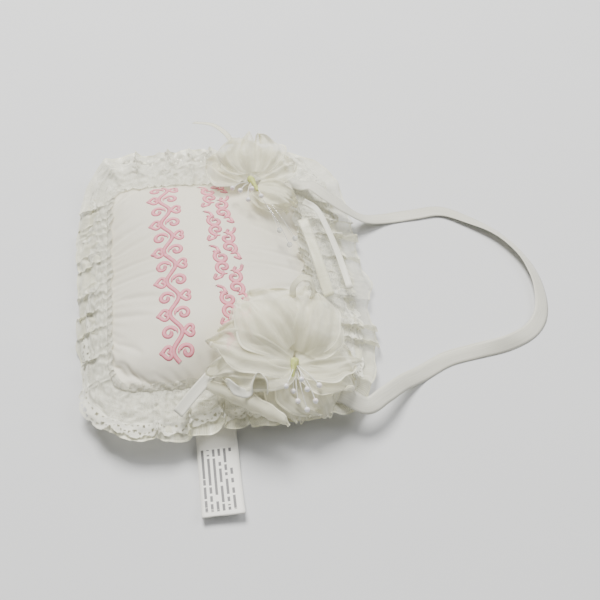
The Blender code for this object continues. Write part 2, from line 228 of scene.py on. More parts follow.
def sheer_organza():
    """Open threads that let light through, thinner still along the top side, with a rolled hem."""
    finish = Finish("sheer_organza", (0.84, 0.83, 0.72), 0.34, Sheen_Weight=0.35, Specular_IOR_Level=0.6)
    place = finish.place(uv=True)
    grid = finish.weave(place, 0.42, 0.42, operation="MAXIMUM")
    streaks = finish.noise(finish.place((1.2, 0.05, 1), uv=True), 1.0, 3.0)
    threads = finish.spread(finish.math("POWER", grid, 4.0), 0.42, 0.75)
    shares = finish.split(finish.place(uv="share"))
    hem = finish.math("GREATER_THAN", shares["Y"], 0.965)
    cover = finish.math("MULTIPLY_ADD", streaks, 0.24, threads)
    full, half = (1, 1, 1), (0.5, 0.5, 0.5)
    thinned = finish.ramp(shares["X"], ((0.12, full), (0.18, half), (0.34, half), (0.42, full)))
    cover = finish.math("MULTIPLY", cover, thinned)
    finish.feed("Alpha", finish.math("MULTIPLY_ADD", hem, 0.3, cover))
    finish.tint(streaks, (0.88, 0.86, 0.62), (0.94, 0.92, 0.74))
    finish.bump(grid, 0.05, 0.4)
    return finish.material


def white_lace():
    """Openwork: a dense scalloped border, and sprigs on fine net."""
    finish = Finish("white_lace", (0.86, 0.86, 0.84), 0.8, Sheen_Weight=0.15)
    place = finish.place(uv=True)
    across = finish.split(place)["Y"]
    cells = finish.node("ShaderNodeTexVoronoi", {"Vector": place, "Scale": 1.5, "Randomness": 0.25},
                        feature="DISTANCE_TO_EDGE", voronoi_dimensions="2D").outputs["Distance"]
    net = finish.math("LESS_THAN", cells, 0.2)
    sprigs = finish.noise(finish.place((0.42, 0.42, 1), turn=0.5, uv=True), 1.0, 1.5, 0.65)
    leaf = finish.math("GREATER_THAN", sprigs, 0.55)
    outline = finish.math("LESS_THAN", finish.off(sprigs, 0.44), 0.018)
    dense = finish.math("GREATER_THAN", across, LACE_WIDTH - 6.5)
    open_work = finish.math("MAXIMUM", finish.math("MAXIMUM", leaf, outline), net)
    finish.feed("Alpha", finish.math("MAXIMUM", finish.spread(open_work, 0.08, 0.8),
                                     finish.math("MULTIPLY", dense, 0.95)))
    thread = finish.noise(finish.place((3.0, 1.2, 1), uv=True), 1.0, 3.0)
    finish.tint(thread, (0.82, 0.805, 0.665), (0.90, 0.89, 0.78))
    stitches = finish.wave(finish.place(turn=0.6, uv=True), 0.4, "X", 1.5)
    finish.bump(finish.math("ADD", stitches, thread), 0.1, 0.55)
    return finish.material


def ivory_chiffon():
    """Crinkled sheer cloth, closer at its rolled edges."""
    finish = Finish("ivory_chiffon", (0.84, 0.83, 0.75), 0.5, Sheen_Weight=0.35, Sheen_Roughness=0.5,
                    Specular_IOR_Level=0.4)
    place = finish.place(uv=True)
    crinkle = finish.noise(finish.place((0.12, 0.5, 1), uv=True), 1.0, 5.0, 0.6)
    weave = finish.weave(place, 0.35, 0.35)
    shares = finish.split(finish.place(uv="share"))
    sides = finish.math("GREATER_THAN", finish.off(shares["Y"], 0.5), 0.475)
    edge = finish.math("MAXIMUM", sides, finish.math("GREATER_THAN", shares["X"], 0.975))
    cover = finish.spread(crinkle, 0.40, 0.66)
    finish.feed("Alpha", finish.math("MAXIMUM", finish.math("MULTIPLY", edge, 0.92), cover))
    finish.tint(crinkle, (0.93, 0.90, 0.66), (0.965, 0.94, 0.76))
    finish.bump(finish.math("MULTIPLY_ADD", crinkle, 2.0, weave), 0.12, 0.5)
    return finish.material


def satin_ribbon(name="satin_ribbon", dull=(0.80, 0.78, 0.65), bright=(0.88, 0.865, 0.755)):
    finish = Finish(name, bright, 0.38, Anisotropic=0.5, Sheen_Weight=0.2, Specular_IOR_Level=0.5)
    place = finish.place(uv=True)
    ribs = finish.wave(place, 0.3, "X", 0.4)
    streaks = finish.noise(finish.place((0.04, 2.5, 1), uv=True), 1.0, 3.0)
    finish.tint(streaks, dull, bright)
    finish.feed("Roughness", finish.spread(streaks, 0.32, 0.48))
    finish.bump(finish.math("ADD", ribs, streaks), 0.04, 0.5)
    return finish.material


def hanger_satin():
    """The trimmings' satin in darker colours, for the hanger's ribbon."""
    return satin_ribbon("hanger_satin", (0.62, 0.605, 0.51), (0.74, 0.725, 0.62))


def pink_thread():
    """Satin stitch: slanted threads with a painted highlight along each thread, and painted shade
    darkening each row towards its edges, where it turns down.
    """
    finish = Finish("pink_thread", (0.85, 0.28, 0.35), 0.5, Sheen_Weight=0.3, Anisotropic=0.4)
    edge = finish.off(finish.split(finish.place(uv=True))["Y"], 0.5)
    # Painted shade: the colour darkens from each row's middle to its edges, where the raised row turns
    # down.
    painted_edge_shade = finish.ramp(edge, ((0.15, (0.92, 0.34, 0.41)), (0.27, (0.86, 0.21, 0.28)),
                               (0.4, (0.58, 0.08, 0.14))))
    threads = finish.wave(finish.place((1, 0.6, 1), turn=0.5, uv=True), 0.28, "X", 0.6)
    # Painted highlight: a lighter pink on the ridge of each thread, following the threads' bump.
    lights = finish.spread(threads, 0.0, 0.2)
    finish.feed("Base Color", finish.mix(lights, painted_edge_shade, (0.95, 0.52, 0.56)))
    finish.bump(threads, 0.12, 0.8)
    return finish.material


def label_cloth():
    """Smooth woven tape with six printed lines of plain dashes along it."""
    finish = Finish("label_cloth", (0.82, 0.81, 0.78), 0.55, Sheen_Weight=0.1)
    place = finish.place(uv=True)
    parts = finish.split(place)
    along = parts["X"]
    first_row, row_pitch = 2.2, 2.4
    row = finish.math("DIVIDE", finish.math("SUBTRACT", parts["Y"], first_row), row_pitch)
    in_row = finish.math("LESS_THAN", finish.math("PINGPONG", row, 0.5), 0.24)
    rows_start = finish.math("GREATER_THAN", row, -0.3)
    rows_end = finish.math("LESS_THAN", row, 5.3)
    stagger = finish.math("MULTIPLY", finish.math("FLOOR", finish.math("ADD", row, 0.5)), 7.7)
    spot = {"X": finish.math("MULTIPLY", along, 0.55), "Y": stagger}
    marks = finish.noise(finish.node("ShaderNodeCombineXYZ", spot).outputs["Vector"], 1.0, 1.0)
    dashes = finish.math("GREATER_THAN", marks, 0.42)
    before_fold = finish.math("LESS_THAN", along, 43.0)
    near_seam = finish.math("LESS_THAN", along, 20.0)
    from_end = finish.math("SUBTRACT", before_fold, near_seam)
    print_mask = finish.math("MULTIPLY", in_row, dashes)
    for mask in (rows_start, rows_end, from_end):
        print_mask = finish.math("MULTIPLY", print_mask, mask)
    grain = finish.noise(finish.place((2.0, 2.0, 1), uv=True), 1.0, 3.0)
    cloth = finish.ramp(grain, ((0.3, (0.93, 0.91, 0.83)), (0.7, (0.97, 0.955, 0.89))))
    ink = finish.math("MULTIPLY", print_mask, 0.88)
    finish.feed("Base Color", finish.mix(ink, cloth, (0.07, 0.07, 0.08)))
    finish.bump(finish.weave(place, 0.25, 0.25), 0.04, 0.5)
    return finish.material


def green_tape():
    finish = Finish("green_tape", (0.46, 0.5, 0.14), 0.7)
    crepe = finish.noise(finish.place(), 0.8, 4.0)
    finish.tint(crepe, (0.36, 0.42, 0.08), (0.58, 0.6, 0.24))
    finish.bump(crepe, 0.2, 0.6)
    return finish.material


def pearl():
    finish = Finish("pearl", (0.86, 0.82, 0.8), 0.22, Coat_Weight=0.8, Coat_Roughness=0.06,
                    Sheen_Weight=0.1, Specular_IOR_Level=0.6)
    play = finish.noise(finish.place(), 0.5, 2.0)
    finish.feed("Base Color", finish.ramp(play, ((0.35, (0.88, 0.75, 0.78)), (0.5, (0.9, 0.88, 0.85)),
                                                (0.68, (0.82, 0.84, 0.9)))))
    finish.feed("Roughness", finish.spread(play, 0.16, 0.3))
    return finish.material


def clear_bead():
    finish = Finish("clear_bead", (0.95, 0.97, 1.0), 0.04, Transmission_Weight=0.85, IOR=1.5)
    clouds = finish.noise(finish.place(), 1.2, 2.0)
    finish.feed("Roughness", finish.spread(clouds, 0.02, 0.12))
    return finish.material


def stiff_thread():
    finish = Finish("stiff_thread", (0.88, 0.87, 0.8), 0.45, Coat_Weight=0.3)
    twist = finish.noise(finish.place(), 3.0, 2.0)
    finish.tint(twist, (0.8, 0.79, 0.7), (0.92, 0.91, 0.86))
    finish.bump(twist, 0.05, 0.5)
    return finish.material


def studio_paper():
    finish = Finish("studio_paper", (0.7, 0.705, 0.71), 0.85)
    fibre = finish.noise(finish.place(), 0.02, 3.0)
    finish.tint(fibre, (0.69, 0.695, 0.70), (0.70, 0.705, 0.71))
    return finish.material


MAKERS = (ivory_satin, sheer_organza, white_lace, ivory_chiffon, satin_ribbon, hanger_satin, pink_thread,
          label_cloth, green_tape, pearl, clear_bead, stiff_thread, studio_paper)
FINISHES = {maker.__name__: maker() for maker in MAKERS}


# ------------------------------------------------------------ mesh helpers


def link_mesh(name, bm, finish):
    mesh = bpy.data.meshes.new(name)
    bm.to_mesh(mesh)
    bm.free()
    mesh.materials.append(FINISHES[finish])
    made = bpy.data.objects.new(name, mesh)
    bpy.context.scene.collection.objects.link(made)
    return made


def add_piece(name, bm, finish, nodes, body="pillow", modifiers=()):
    """Makes the mesh a piece that stands for those nodes. body is None for a piece that is attached to no
    body.
    """
    piece = link_mesh(name, bm, finish)
    piece.data.shade_smooth()
    for kind, settings in modifiers:
        modifier = piece.modifiers.new(kind.title(), kind)
        for key, value in settings.items():
            setattr(modifier, key, value)
    if body:
        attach(piece, body)
    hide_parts(*nodes)
    return piece


def thicken(millimetres):
    return "SOLIDIFY", {"thickness": millimetres * MM, "offset": 0.0}


ROUND_OFF = ("SUBSURF", {"levels": 1, "render_levels": 1})


def lay_cloth(bm, cells, place, size_mm, cut=None, shift=0.0):
    """Adds a grid of cloth. place(along, across) turns shares of its length and width into a point,
    and cut(along, across), in millimetres, says where a face is left out."""
    layers = bm.loops.layers.uv
    uv, edge = (layers.get(name) or layers.new(name) for name in ("cloth", "share"))
    made = bmesh.ops.create_grid(bm, x_segments=cells[0], y_segments=cells[1], size=1.0)["verts"]
    faces = {face for vert in made for face in vert.link_faces}
    for face in faces:
        for loop in face.loops:
            along, across = (loop.vert.co.x + 1) / 2, (loop.vert.co.y + 1) / 2
            loop[uv].uv = (along * size_mm[0] + shift, across * size_mm[1])
            loop[edge].uv = (along, across)
    if cut:
        gone = []
        for face in faces:
            middle = face.calc_center_median()
            if cut((middle.x + 1) / 2 * size_mm[0], (middle.y + 1) / 2 * size_mm[1]):
                gone.append(face)
        bmesh.ops.delete(bm, geom=gone, context="FACES")
        made = [vert for vert in made if vert.is_valid]
    for vert in made:
        vert.co = place((vert.co.x + 1) / 2, (vert.co.y + 1) / 2)
    return made


def smooth_route(route, steps):
    """A Catmull-Rom curve through the route's own points."""
    points = [Vector(point) for point in route]
    padded = [2 * points[0] - points[1], *points, 2 * points[-1] - points[-2]]
    curve = []
    for a, b, c, d in zip(padded, padded[1:], padded[2:], padded[3:]):
        for step in range(steps):
            t = step / steps
            curve.append(0.5 * (2 * b + (c - a) * t + (2 * a - 5 * b + 4 * c - d) * t**2
                                + (3 * b - a - 3 * c + d) * t**3))
    return [*curve, points[-1]]


def length_of(curve):
    return sum((b - a).length for a, b in zip(curve, curve[1:]))


def wobble(x, y=0.0, z=0.0):
    """Smooth noise from -1 to 1."""
    return noise.noise(Vector((x, y, z)))


def blend(a, b, share):
    return a + (b - a) * share


def eased(value, low, high):
    """From 0 at low to 1 at high, with soft ends."""
    t = min(max((value - low) / (high - low), 0.0), 1.0)
    return t * t * (3 - 2 * t)


def above_floor(point):
    """Presses a point softly onto the floor."""
    softness = 1.0 * MM
    drop = point.z - FLOOR_GAP
    point.z = FLOOR_GAP + (drop + math.sqrt(drop * drop + softness**2)) / 2
    return point


# -------------------------------------------------------------- the pillow


def outline_share(across, up):
    """The superellipse's gauge: 1 on the seam line and 0 in the middle."""
    return (abs(across) ** SQUARENESS + abs(up) ** SQUARENESS) ** (1 / SQUARENESS)


def seam_line(count):
    """Points of the seam, equally spaced along it, with their outward directions."""
    rim = []
    for i in range(4 * count):
        angle = 2 * math.pi * i / (4 * count)
        across, up = math.cos(angle), math.sin(angle)
        share = outline_share(across, up)
        rim.append(Vector((HALF_WIDTH * across / share, HALF_HEIGHT * up / share, 0)))
    rim.append(rim[0])
    total = length_of(rim)
    points, walked, i = [], 0.0, 0
    for k in range(count):
        while walked + (rim[i + 1] - rim[i]).length < total * k / count:
            walked += (rim[i + 1] - rim[i]).length
            i += 1
        step = rim[i + 1] - rim[i]
        points.append(rim[i] + step * ((total * k / count - walked) / step.length))
    reach = count // 90
    normals = []
    for k in range(count):
        tangent = points[(k + reach) % count] - points[k - reach]
        normals.append(Vector((tangent.y, -tangent.x, 0)).normalized())
    return points, normals, total


SEAM, SEAM_OUT, SEAM_LENGTH = seam_line(1440)


def on_seam(turn):
    """(point, outward direction) at that share of the way round, from the right side's middle."""
    at = (turn % 1.0) * len(SEAM)
    i = int(at)
    j, part = (i + 1) % len(SEAM), at - i
    i %= len(SEAM)
    return SEAM[i].lerp(SEAM[j], part), SEAM_OUT[i].lerp(SEAM_OUT[j], part).normalized()


def flat_cover():
    """Two layers of cloth with the seam's outline, closed at the seam, a little puffed already."""
    bm = bmesh.new()
    for side in (1, -1):
        made = bmesh.ops.create_grid(bm, x_segments=92, y_segments=74, size=1.0)["verts"]
        faces = {face for vert in made for face in vert.link_faces}
        for vert in made:
            across, up = vert.co.x, vert.co.y
            most = max(abs(across), abs(up))
            fit = most / outline_share(across, up) if most else 1.0
            puff = (1 - across**4) * (1 - up**4)
            vert.co = Vector((HALF_WIDTH * across * fit, HALF_HEIGHT * up * fit, side * 6 * MM * puff))
        if side < 0:
            bmesh.ops.reverse_faces(bm, faces=list(faces))
    bmesh.ops.remove_doubles(bm, verts=bm.verts, dist=0.01 * MM)
    return bm


def inflate(piece):
    """Blows the cover up with its gathered seam held, at ten times its size, and keeps the result."""
    scale, frames = 10.0, 16
    for vert in piece.data.vertices:
        vert.co *= scale
    seam = piece.vertex_groups.new(name="seam")
    seam.add([v.index for v in piece.data.vertices if abs(v.co.z) < 1e-7], 1.0, "REPLACE")
    cloth = piece.modifiers.new("Cloth", "CLOTH")
    settings = cloth.settings
    settings.quality = 6
    settings.mass = 0.15
    settings.tension_stiffness = 40
    settings.compression_stiffness = 10
    settings.shear_stiffness = 15
    settings.bending_stiffness = 0.02
    settings.vertex_group_mass = "seam"
    settings.shrink_min = -0.09
    settings.use_pressure = True
    settings.uniform_pressure_force = 18.0
    settings.effector_weights.gravity = 0
    cloth.collision_settings.use_collision = False
    cloth.point_cache.frame_start, cloth.point_cache.frame_end = 1, frames
    for current in range(1, frames + 1):
        bpy.context.scene.frame_set(current)
    graph = bpy.context.evaluated_depsgraph_get()
    mesh = bpy.data.meshes.new_from_object(piece.evaluated_get(graph))
    piece.modifiers.remove(cloth)
    piece.vertex_groups.clear()
    piece.data = mesh
    for vert in mesh.vertices:
        vert.co /= scale
    bpy.context.scene.frame_set(1)


def settle(piece):
    """Brings the blown-up cover to the pillow's thickness, and flattens the side it lies on."""
    heights = [vert.co.z for vert in piece.data.vertices]
    top, bottom = max(heights), -min(heights)
    for vert in piece.data.vertices:
        if vert.co.z > 0:
            vert.co.z = SEAM_HEIGHT + vert.co.z / top * CROWN
        else:
            sunk = -vert.co.z / bottom
            flat = 1 - (1 - min(1.35 * sunk, 1.0)) ** 1.6
            vert.co.z = SEAM_HEIGHT - flat * (DEPTH - FLOOR_GAP)
    piece.data.update()


def make_pillow():
    nodes = ("front_panel", "back_panel", "fibre_filling")
    piece = add_piece("satin_pillow", flat_cover(), "ivory_satin", nodes)
    inflate(piece)
    settle(piece)
    piece.data.shade_smooth()
    subdivision = piece.modifiers.new("Subsurf", "SUBSURF")
    subdivision.levels = subdivision.render_levels = 1
    return piece


PILLOW = make_pillow()
PILLOW_TREE = BVHTree.FromPolygons([v.co for v in PILLOW.data.vertices],
                                   [list(p.vertices) for p in PILLOW.data.polygons])


def front_height(x, y):
    """The height of the pillow's front at a place, or of its seam outside it."""
    hit = PILLOW_TREE.ray_cast(Vector((x, y, 0.2)), -UP)[0]
    return max(hit.z, SEAM_HEIGHT) if hit else SEAM_HEIGHT


# ------------------------------------------------------------- the ruffles


def by_side(out, right, left, top, bottom):
    """A value that goes smoothly from side to side, by the outward direction."""
    return (max(out.x, 0) ** 2 * right + max(-out.x, 0) ** 2 * left
            + max(out.y, 0) ** 2 * top + max(-out.y, 0) ** 2 * bottom)


def reach_of(low, high, out):
    """How far a ruffle's box stands past the front panel's, by the outward direction."""
    return by_side(out, high.x - FRONT_HIGH.x, FRONT_LOW.x - low.x,
                   high.y - FRONT_HIGH.y, FRONT_LOW.y - low.y)


class Frill:
    """A strip gathered on the seam: fine pleats at the seam that open into large soft folds.

    low and high are its solid's corners, and hems the heights of its hem on the right, left, top and
    bottom. pleats is their number, depth the folds' depth, level its height over the seam, and crumple
    the size of its creases. Each trim is a place on the seam, the share that the reach loses there
    and the trim's width along the seam.
    """

    def __init__(self, low, high, hems, pleats, depth, level, crumple, seed, trims):
        self.low, self.high, self.hems = low, high, hems
        self.pleats, self.depth, self.level = pleats, depth, level
        self.crumple, self.seed, self.trims = crumple, seed, trims

    def fold(self, way):
        """The folds' phase, which both frills share, so that one lies in the other."""
        fold_length = 13.0
        return 2 * math.pi * way / fold_length + 3.6 * wobble(way / 17, 5.0)

    def point(self, turn, share):
        """The place at that turn of the seam: share is 0 at the seam, 1 at the hem, and less than
        0 in the heading. Lengths along the seam are in millimetres."""
        point, out = on_seam(turn)
        along = Vector((-out.y, out.x, 0))
        way = turn * SEAM_LENGTH / MM
        pleat = 2 * math.pi * self.pleats * turn + 5.0 * wobble(way / 8, self.seed)
        pleat += 1.5 * wobble(way / 9, 9 * share)
        if share < 0:
            return self.heading(point, out, along, way, pleat, -share)
        reach = reach_of(self.low, self.high, out) * (1 + 0.16 * wobble(way / 19, self.seed + 2))
        for spot, trim, width in self.trims:
            from_spot = (turn - spot + 0.5) % 1 - 0.5
            reach *= 1 - trim * math.exp(-((from_spot / width) ** 2))
        fold = self.fold(way)
        strength = min(0.85 + 0.9 * wobble(way / 29, 8.0), 1.2) * (1 - 0.4 * max(-out.x, 0) ** 2)
        opening = share**1.1
        uneven = 0.55 + 0.75 * wobble(way / 6, self.seed + 5, share)
        small = (0.8 * (1 - share) ** 1.5 + 0.2) * MM * min(1, 8 * share + 0.4) * uneven
        large = self.depth * strength * opening
        height = blend(SEAM_HEIGHT + self.level, by_side(out, *self.hems), share**1.5)
        height += small * math.cos(pleat) + large * (math.cos(fold) + 0.35 * math.cos(2 * fold + 1.3))
        slide = -1.15 * large * math.sin(fold) - 0.5 * small * math.sin(pleat)
        away = reach * share - 0.9 * MM - 0.25 * large * math.cos(fold + 0.8)
        crease = noise.noise_vector(Vector((way / 5.5, 5 * share, self.seed)))
        crease += 0.5 * noise.noise_vector(Vector((way / 2.2, 12 * share, self.seed)))
        place = point + out * away + along * slide + UP * height
        return above_floor(place + crease * self.crumple * min(1, 3 * share))

    def heading(self, point, out, along, way, pleat, share):
        """The gathered edge that stands up inside the seam and leans over the front."""
        fuller = 1 + 0.9 * max(out.y, 0) ** 3
        inward = (0.3 + 2.9 * fuller * share * (1 + 0.6 * wobble(way / 7, 21.0))) * MM
        spot = point - out * inward
        rise = (0.4 + 1.1 * fuller * share * (1 + 0.5 * wobble(way / 5, 31.0))) * MM
        small = (0.22 + 0.3 * share) * MM * fuller * (1 + 0.7 * wobble(way / 6, 41.0))
        spot += along * (-1.3 * small * math.sin(pleat)) + out * small * 0.8 * math.cos(pleat + 0.6)
        spot.z = front_height(spot.x, spot.y) + rise + small * math.cos(pleat)
        return spot


def make_organza():
    frill = Frill(ORGANZA_LOW, ORGANZA_HIGH, hems=(0.0130, 0.0165, 0.0045, 0.0035), pleats=92,
                  depth=2.7 * MM, level=-0.3 * MM, crumple=1.3 * MM, seed=2.0,
                  trims=((0.130, 0.14, 0.035), (0.865, 0.24, 0.05), (0.030, 0.17, 0.08)))
    bm = bmesh.new()
    lay_cloth(bm, (1300, 22), frill.point, (650, 30))
    bmesh.ops.remove_doubles(bm, verts=bm.verts, dist=1e-7)
    piece = add_piece("organza_frill", bm, "sheer_organza", ("organza_ruffle",))


# Each eyelet's place along a scallop, its distance from the hem, and its radius, in millimetres.
EYELETS = ((0.0, 3.0, 0.62), (-1.45, 2.3, 0.4), (1.45, 2.3, 0.4), (3.0, 4.6, 0.45), (-0.95, 4.9, 0.36),
           (0.95, 4.9, 0.36), (3.0, 2.4, 0.3))


def lace_gap(along, across):
    """Whether the lace is open there: past its scalloped hem, or in an eyelet. Millimetres."""
    from_middle = (along % SCALLOP) - SCALLOP / 2
    hem = LACE_WIDTH - 1.9 * (2 * abs(from_middle) / SCALLOP) ** 1.7

    def inside(x, down, radius):
        aside = (from_middle - x + SCALLOP / 2) % SCALLOP - SCALLOP / 2
        return aside**2 + (across - (LACE_WIDTH - down)) ** 2 < radius**2

    return across > hem or any(inside(*eyelet) for eyelet in EYELETS)


def make_lace():
    frill = Frill(LACE_LOW, LACE_HIGH, hems=(0.0145, 0.0200, 0.0075, 0.0060), pleats=84,
                  depth=2.5 * MM, level=1.2 * MM, crumple=1.1 * MM, seed=14.0,
                  trims=((0.130, 0.14, 0.035), (0.030, 0.10, 0.06), (0.895, -0.24, 0.045)))

    def place(along, across):
        share = (across - HEADING) / (1 - HEADING) if across > HEADING else across / HEADING - 1
        return frill.point(along, share)

    bm = bmesh.new()
    lay_cloth(bm, (1500, 60), place, (600, LACE_WIDTH), lace_gap)
    bmesh.ops.remove_doubles(bm, verts=bm.verts, dist=1e-7)
    piece = add_piece("lace_frill", bm, "white_lace", ("lace_ruffle",))


# ---------------------------------------------------- the stitched ornament


def heart(x, y, size):
    """A heart's outline."""
    route = []
    for i in range(33):
        t = 2 * math.pi * i / 32
        side = 16 * math.sin(t) ** 3
        high = 13 * math.cos(t) - 5 * math.cos(2 * t) - 2 * math.cos(3 * t) - math.cos(4 * t)
        route.append((x + size * side / 32, y + size * high / 32))
    return route


def curl(x, y, start, turns, size, hand):
    """A spiral that winds in towards x, y."""
    route = []
    count = int(18 * turns) + 1
    for i in range(count):
        share = i / (count - 1)
        angle = start + hand * 2 * math.pi * turns * share
        route.append((x + size * (1 - 0.85 * share) * math.cos(angle),
                      y + size * (1 - 0.85 * share) * math.sin(angle)))
    return route


def leaf(x, y, length, turn, bulge):
    """A pointed leaf's outline."""
    route = []
    for i in range(25):
        t = i / 12 - 1 if i <= 12 else 1 - (i - 12) / 12
        side = bulge * (1 - t * t) * (1 if i <= 12 else -1)
        route.append((x + length / 2 * t * math.cos(turn) - side * math.sin(turn),
                      y + length / 2 * t * math.sin(turn) + side * math.cos(turn)))
    return route


# A stitched row is a list of strokes, each a route and its width, in millimetres.


def vine_row(half):
    """A running vine with a curl in each bend and a heart across from it."""
    bends = 12
    pitch = 2 * half / bends
    strokes = [([(-half + pitch * bends * i / 192, 2.4 * math.sin(math.pi * bends * i / 192))
                 for i in range(193)], 2.2)]
    for k in range(bends):
        side = 1 if k % 2 == 0 else -1
        middle = -half + pitch * (k + 0.5)
        strokes.append((curl(middle + 0.3, -side * 3.6, side * math.pi / 2, 1.15, 3.5, side), 2.1))
        strokes.append((heart(middle, side * 5.3, 5.2), 1.9))
    return strokes


def scroll_row(half):
    """A running wave of double curls with a leaf over and under each."""
    units = 9
    pitch = 2 * half / units
    strokes = []
    for k in range(units):
        middle = -half + pitch * (k + 0.5)
        side = 1 if k % 2 == 0 else -1
        strokes.append((curl(middle - pitch * 0.24, side * 2.2, 0.2, 1.2, 3.8, side), 2.2))
        strokes.append((curl(middle + pitch * 0.26, -side * 2.2, math.pi + 0.2, 1.2, 3.8, side), 2.2))
        strokes.append((leaf(middle - pitch * 0.16, -side * 4.6, 6.6, 0.75 * side, 1.3), 1.7))
        strokes.append((leaf(middle + pitch * 0.16, side * 4.9, 6.6, 0.75 * side, 1.3), 1.7))
    return strokes


ROW_SHIFT = -1.5 * MM
STITCH_RISE = 0.42 * MM
STITCH_SINK = 0.04 * MM


def stitch(bm, route, width, origin_y, slope):
    """Lays one raised line of satin stitch on the pillow's front."""
    line = [Vector((x, y, 0)) for x, y in route]
    closed = (line[0] - line[-1]).length < 0.01
    count = len(line) - 1

    def place(along, across):
        at = along * count
        i = min(int(at), count - 1)
        spot = line[i].lerp(line[i + 1], at - i)
        before = line[i - 1] if i or not closed else line[-2]
        after = line[min(i + 2, count)] if i + 2 <= count or not closed else line[1]
        tangent = (line[i + 1] - before).lerp(after - line[i], at - i).normalized()
        side = Vector((-tangent.y, tangent.x, 0))
        aside = 2 * across - 1
        flat = (spot + side * aside * width / 2) * MM
        x, y = flat.x + ROW_SHIFT, origin_y + slope * flat.x + flat.y
        rise = STITCH_RISE * math.sqrt(max(1 - aside**2, 0)) - STITCH_SINK
        return Vector((x, y, front_height(x, y) + rise))

    lay_cloth(bm, (2 * count, 6), place, (length_of(line), 1.0))


def make_stitching(name, node, strokes, slope):
    low, high = node_box(node)
    bm = bmesh.new()
    for route, width in strokes:
        stitch(bm, route, width, (low.y + high.y) / 2, slope)
    add_piece(name, bm, "pink_thread", (node,))


# ------------------------------------------------------------- the ribbons


def tangent_at(curve, i):
    return (curve[min(i + 1, len(curve) - 1)] - curve[max(i - 1, 0)]).normalized()


def lay_ribbon(bm, curve, width, across, cells=6, cup=0.0, ripple=0.0):
    """A flat ribbon along a curve. across(share) is the direction of its width there."""
    count = len(curve) - 1

    def place(along, over):
        i = round(along * count)
        tangent = tangent_at(curve, i)
        side = across(along)
        side = (side - tangent * side.dot(tangent)).normalized()
        lift = tangent.cross(side)
        aside = 2 * over - 1
        wave = ripple * wobble(along * length_of(curve) / MM / 9, aside)
        return curve[i] + side * aside * width / 2 + lift * (cup * (aside**2 - 0.5) + wave)

    lay_cloth(bm, (count, cells), place, (length_of(curve) / MM, width / MM))


def turning(*directions):
    """A direction that goes smoothly through those given, evenly along the ribbon."""
    path = smooth_route([Vector(d).normalized() for d in directions], 16)
    return lambda share: path[round(share * (len(path) - 1))].normalized()


def from_flower(centre, route):
    return [centre + Vector(point) for point in route]


def make_ribbon(name, node, centre, route, width, ways, cord=None,
                finish="satin_ribbon", cup=0.0, ripple=0.0):
    """A trimming of ribbon, with its route from a flower's centre and the ways its width points.
    cord is not used."""
    curve = smooth_route(from_flower(centre, route), 8)
    bm = bmesh.new()
    lay_ribbon(bm, curve, width, turning(*ways), cup=cup, ripple=ripple)
    piece = add_piece(name, bm, finish, (node,), modifiers=[thicken(RIBBON_THICKNESS)])
    if cord:
        length_of(curve)


def make_hanger():
    """The ribbon loop: from under the far flower, round over the table and back under the near one."""
    route, leans = [], []
    for x, y, z, lean in HANGER_ROUTE:
        on_table = eased(0.012 - z, 0.0, 0.006)
        low = HANGER_WIDTH / 2 * math.sin(lean) + FLOOR_GAP
        route.append((x, y, blend(z - 1.5 * MM, low, on_table)))
        leans.append((lean, 0, 0))
    curve, leans = smooth_route(route, 8), smooth_route(leans, 8)

    def across(share):
        i = round(share * (len(curve) - 1))
        tangent = tangent_at(curve, i)
        flat = tangent.cross(UP).normalized()
        return flat * math.cos(leans[i].x) + UP * math.sin(leans[i].x)

    bm = bmesh.new()
    lay_ribbon(bm, curve, HANGER_WIDTH, across, cup=0.35 * MM, ripple=0.2 * MM)
    for vert in bm.verts:
        vert.co.z = max(vert.co.z, 0.25 * MM)
    piece = add_piece("hanger_loop", bm, "hanger_satin", ("hanger_ribbon",), None,
                      [thicken(RIBBON_THICKNESS)])
    length_of(curve)
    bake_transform(piece)


def make_label():
    """A tape folded in two at its free end, its two raw ends sewn in below the seam."""
    low, high = node_box("care_label")
    width, start, end = high.y - low.y, low.x, high.x
    middle = (low.y + high.y) / 2
    upper = ((start, 0.0078), (start + 0.008, 0.0062), (start + 0.021, 0.0030), (start + 0.036, 0.0016),
             (start + 0.048, 0.0026), (end - 0.0006, 0.0042))
    lower = ((end, 0.0036), (end - 0.0010, 0.0031), (start + 0.044, 0.0012), (start + 0.030, 0.0009),
             (start + 0.016, 0.0034), (start + 0.006, 0.0058), (start, 0.0068))
    curve = smooth_route([(x, middle, z) for x, z in upper + lower], 6)
    bm = bmesh.new()
    across = turning((0.02, 1, 0.02), (0, 1, 0.03), (0.02, 1, 0.02))
    lay_ribbon(bm, curve, width, across, cells=10, ripple=0.2 * MM)
    piece = add_piece("folded_label", bm, "label_cloth", ("care_label",), "label",
                      [thicken(TAPE_THICKNESS)])
    length_of(curve)


# ------------------------------------------------------------- the flowers


